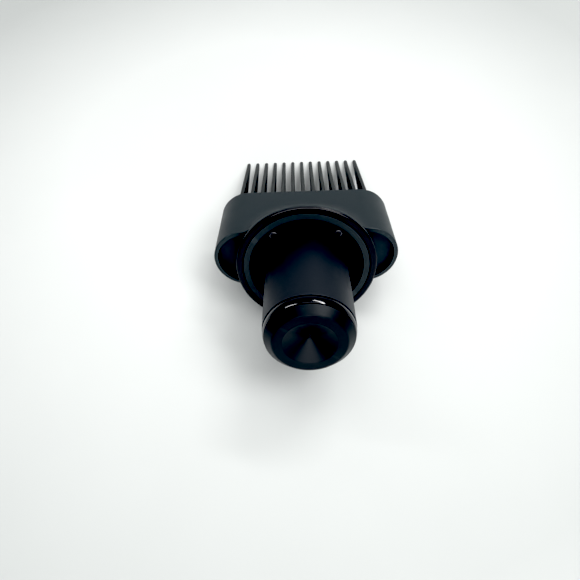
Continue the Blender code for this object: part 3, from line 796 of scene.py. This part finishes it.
def vane_mesh(angle, deep):
    """One vane from hub to band, with a rounded rear edge."""
    reach, root = 0.02585, 0.0188
    far_edge = [(0.0215, 0.0100), (root, 0.0105)] if deep else [(root, 0.0057)]
    outline = [(root, 0.0046), (reach, 0.0034), (reach, 0.0052)] + far_edge
    along = Vector((sin(angle), 0.0, cos(angle)))
    across = Vector((cos(angle), 0.0, -sin(angle))) * (VANE_THICKNESS / 2)
    sides = []
    for share, lift in ((-1.0, 0.0004), (-0.7, 0.0001), (0.0, 0.0), (0.7, 0.0001), (1.0, 0.0004)):
        points = [(r, y + lift if k < 2 else y) for k, (r, y) in enumerate(outline)]
        sides.append([along * r + Vector((0.0, y, 0.0)) + across * share for r, y in points])
    return loft_mesh(sides)


def collar_screws():
    """Pan-head screws with a six-sided socket."""
    for i, node in enumerate(COLLAR_SCREWS):
        x, z = node_middle(node)
        points = axis_points(node)
        rear, front = min(p.y for p in points), max(p.y for p in points)
        head = max(hypot(p.x - x, p.z - z) for p in points)
        seat = rear + 0.0012
        outline = rounded([
            (0.0, front, 0.0), (0.0005, front, 0.0), (0.0009, front - 0.0006, 0.0),
            (0.0009, seat, 0.0), (head, seat, 0.0001), (head, rear + 0.0003, 0.0003),
            (head * 0.75, rear, 0.0006), (0.0, rear, 0.0)])
        body = turned_mesh(outline, closed=False, steps=48, middle=(x, z))
        turns = [radians(60 * k + 15 * i) for k in range(6)]
        socket = [(x + 0.0009 * cos(t), z + 0.0009 * sin(t)) for t in turns]
        made = solid(body, ("DIFFERENCE", prism_mesh(socket, rear - 0.0005, rear + 0.0007)))
        add_piece(f"screw_{i + 1}", made, STEEL_SCREW, "steel_screw", node)


# Comb -------------------------------------------------------------------------------------
TEETH = 13
TOOTH_PITCH = 0.00554
TOOTH_ROOT = (0.0110, -0.0055)   # top and bottom edge where the teeth leave the body
TOOTH_END = (0.0, -0.00181)      # and at their tips
TOOTH_THICKNESS = (0.00215, 0.0020)
TOOTH_ROUND = 0.0012             # length of the rounded tip
TOOTH_FLARE = 0.0004             # widening at the root
PLATE_REAR = 0.0433
PLATE_FRONT = 0.0456
PLATE_EDGE = 0.0002
PLATE_SLACK = 0.00005            # a little more room than GAP, as on the CAD plate
WINDOW_WIDTH = 0.0026            # the windows between the teeth
WINDOW_HEIGHT = 0.0150


def tooth_section(x, y, tip, fullness=1.0, flare=0.0):
    """A tooth's rounded outline at y, shrunk by fullness and widened by flare."""
    share = (y - BODY_FRONT) / (tip - BODY_FRONT)
    top = TOOTH_ROOT[0] + (TOOTH_END[0] - TOOTH_ROOT[0]) * share
    bottom = TOOTH_ROOT[1] + (TOOTH_END[1] - TOOTH_ROOT[1]) * share
    thickness = TOOTH_THICKNESS[0] + (TOOTH_THICKNESS[1] - TOOTH_THICKNESS[0]) * share
    middle = (top + bottom) / 2
    half = (top - bottom) / 2 * fullness + flare
    side = thickness / 2 * fullness + flare
    corner = side * 0.8
    corners = [(side, half, corner), (-side, half, corner), (-side, -half, corner), (side, -half, corner)]
    return [(x + u, y, middle + w) for u, w in rounded(corners, steps=5)]


def tooth_mesh(x, tip):
    sections = [tooth_section(x, PLATE_FRONT - 0.0010, tip, flare=TOOTH_FLARE)]
    sections += [tooth_section(x, PLATE_FRONT + inset - 0.00001, tip, flare=along)
                 for inset, along in reversed(edge_arc(TOOTH_FLARE))][::-1]
    sections += [tooth_section(x, y, tip) for y in stations(0.050, tip - TOOTH_ROUND, 12)]
    for k in range(1, 8):
        turn = pi / 2 * k / 8
        y = tip - TOOTH_ROUND * (1 - sin(turn))
        sections.append(tooth_section(x, y, tip, fullness=cos(turn)))
    return loft_mesh(sections)


def window_outline(x):
    half = WINDOW_HEIGHT / 2
    side = WINDOW_WIDTH / 2
    corner = side * 0.98
    return rounded([(x + side, half, corner), (x - side, half, corner),
                    (x - side, -half, corner), (x + side, -half, corner)])


def comb():
    """The plate with its teeth, the windows between them and the pillars for the duct's lugs."""
    tip = max(p.y for p in axis_points("comb_plate"))
    inset = RIM + GAP + PLATE_SLACK

    def outline(y, shrink):
        half_width = body_half_width(PLATE_FRONT) - inset - shrink
        return section(
            y, lambda a: stadium_radius(a, half_width, body_reach(a) - inset - shrink), DIRECTIONS)

    sections = [outline(PLATE_REAR, 0.0)]
    sections += [outline(PLATE_FRONT - a, b) for a, b in edge_arc(PLATE_EDGE)][::-1]
    middle = (TEETH - 1) / 2
    windows = []
    for i in range(TEETH - 1):
        opening = window_outline((i + 0.5 - middle) * TOOTH_PITCH)
        windows.append(prism_mesh(opening, PLATE_REAR - 0.001, PLATE_FRONT + 0.001))
    teeth = [tooth_mesh((i - middle) * TOOTH_PITCH, tip) for i in range(TEETH)]
    pillars = [rod_mesh(PILLAR_RADIUS, PILLAR_REAR, PLATE_REAR + 0.001, x)
               for x in (-PILLAR_X, PILLAR_X)]
    bores = [rod_mesh(PILLAR_BORE, PILLAR_REAR - 0.001, 0.030, x) for x in (-PILLAR_X, PILLAR_X)]
    made = solid(
        loft_mesh(sections), ("UNION", joined_mesh(pillars)), ("DIFFERENCE", joined_mesh(bores + windows)),
        ("UNION", joined_mesh(teeth)))
    add_piece("comb", made, SATIN_COMB, "satin_comb", "comb_plate")


def hidden_nodes():
    """Nodes that are shut inside keep their CAD meshes and get their final materials."""
    finishes = {"magnet_retainer": INNER_PLASTIC, "tie_screw": STEEL_SCREW,
                "left_duct_screw": STEEL_SCREW, "right_duct_screw": STEEL_SCREW}
    for name, node in frame["nodes"].items():
        finish = NICKEL_MAGNET if name[-1].isdigit() and name.startswith("magnet_") else finishes.get(name)
        if finish:
            node.data.materials.clear()
            node.data.materials.append(finish)


# Stage ---------------------------------------------------------------------------------------
def floor():
    """A wide pale board with painted light falloff: lightest beyond the object and a little left of its
    middle.
    """
    shape = bmesh.new()
    bmesh.ops.create_grid(shape, x_segments=4, y_segments=4, size=4.0)
    board = bpy.data.objects.new("floor", mesh_from(shape))
    bpy.context.scene.collection.objects.link(board)
    made, tree, shader = new_material("pale_board_painted_falloff")
    place = add_node(tree, "ShaderNodeTexCoord").outputs["Object"]
    # Painted light falloff: the board's colour darkens with distance from a point just beyond the object.
    away = add_node(tree, "ShaderNodeVectorMath", [(0, place), (1, (-0.03, 0.10, 0.0))],
                    operation="DISTANCE").outputs["Value"]
    cloud = math(tree, "MULTIPLY", noise(tree, place, 0.05), 0.1)
    share = math(tree, "ADD", ranged(tree, away, 0.12, 0.27, 0.0, 0.9), cloud)
    tone = mixed(tree, share, (0.81, 0.83, 0.82, 1.0), (0.57, 0.59, 0.58, 1.0))
    tree.links.new(tone, shader.inputs["Base Color"])
    shader.inputs["Roughness"].default_value = 0.6
    board.data.materials.append(made)


def soft_light(name, azimuth, elevation, power, width, height=None, turn=0.0):
    """An area light a metre away, aimed at the object.

    Azimuth 0 is beyond the object (+Y) and 90 at its right. With a height it is a
    rectangle, turned by turn degrees; otherwise a disc."""
    data = bpy.data.lights.new(name, "AREA")
    data.shape = "RECTANGLE" if height else "DISK"
    data.size = width
    data.size_y = height or width
    data.energy = power
    lamp = bpy.data.objects.new(name, data)
    bpy.context.scene.collection.objects.link(lamp)
    a, e = radians(azimuth), radians(elevation)
    away = Vector((sin(a) * cos(e), cos(a) * cos(e), sin(e)))
    lamp.location = away
    aimed = away.to_track_quat("Z", "Y").to_matrix() @ Matrix.Rotation(radians(turn), 3, "Z")
    lamp.rotation_mode = "QUATERNION"
    lamp.rotation_quaternion = aimed.to_quaternion()
    lamp.visible_camera = False


def lights():
    """A bright room: a soft key at the right, a ceiling lamp, two narrow windows beyond the
    object, weak fills round it and a far wall that glows."""
    soft_light("key", 118, 56, 4.4, 0.46)
    soft_light("ceiling", 0, 81, 2.0, 0.80, 0.38)
    soft_light("right_window", 41, 58, 2.4, 0.42, 0.08, turn=17)
    soft_light("left_window", 296, 48, 1.0, 0.44, 0.04, turn=-66)
    soft_light("left", 254, 22, 0.50, 0.60)
    soft_light("right", 108, 17, 0.25, 0.60)
    soft_light("front_low", 174, 22, 3.5, 1.00, 0.24)
    soft_light("behind_camera", 186, 65, 2.2, 0.90)
    world = bpy.data.worlds.new("room")
    bpy.context.scene.world = world
    world.use_nodes = True
    tree = world.node_tree
    sky = tree.nodes["Background"]
    sky.inputs["Color"].default_value = (0.98, 1.0, 0.98, 1.0)
    toward = add_node(tree, "ShaderNodeTexCoord").outputs["Generated"]
    far = add_node(tree, "ShaderNodeVectorMath", [(0, toward), (1, (0.0, 0.94, 0.34))],
                   operation="DOT_PRODUCT").outputs["Value"]
    tree.links.new(ranged(tree, far, 0.2, 1.0, 0.12, 0.68), sky.inputs["Strength"])


def picture_tones():
    """The contrast of a phone picture: near-white table, deep and slightly blue blacks."""
    view = bpy.context.scene.view_settings
    view.view_transform = "Standard"
    view.use_curve_mapping = True
    view.curve_mapping.black_level = (0.049, 0.048, 0.043)
    view.curve_mapping.white_level = (1.0, 1.0, 1.0)
    view.curve_mapping.update()


def camera():
    """A camera above and behind the plug, looking down on it with hardly any roll."""
    data = bpy.data.cameras.new("camera")
    data.sensor_width = 36.0
    data.lens = 32.24
    data.clip_start = 0.01
    data.clip_end = 10.0
    eye = bpy.data.objects.new("camera", data)
    bpy.context.scene.collection.objects.link(eye)
    place = Vector((-0.00338, -0.19407, 0.14910))
    pitch, yaw, roll = radians(-39.88), radians(-1.43), radians(-2.63)
    ahead = Vector((sin(yaw) * cos(pitch), cos(yaw) * cos(pitch), sin(pitch)))
    level = ahead.cross(Vector((0.0, 0.0, 1.0))).normalized()
    above = level.cross(ahead)
    right = level * cos(roll) + above * sin(roll)
    up = right.cross(ahead)
    turn = Matrix((right, up, -ahead)).transposed()
    eye.matrix_world = AXIS @ Matrix.Translation(place) @ turn.to_4x4()
    bpy.context.scene.camera = eye


casing()
end_covers()
gloss_ring()
slate_ring()
plug_sleeve()
trim_band()
nose()
duct()
diverter()
spider()
collar_screws()
comb()
hidden_nodes()
floor()
lights()
picture_tones()
camera()
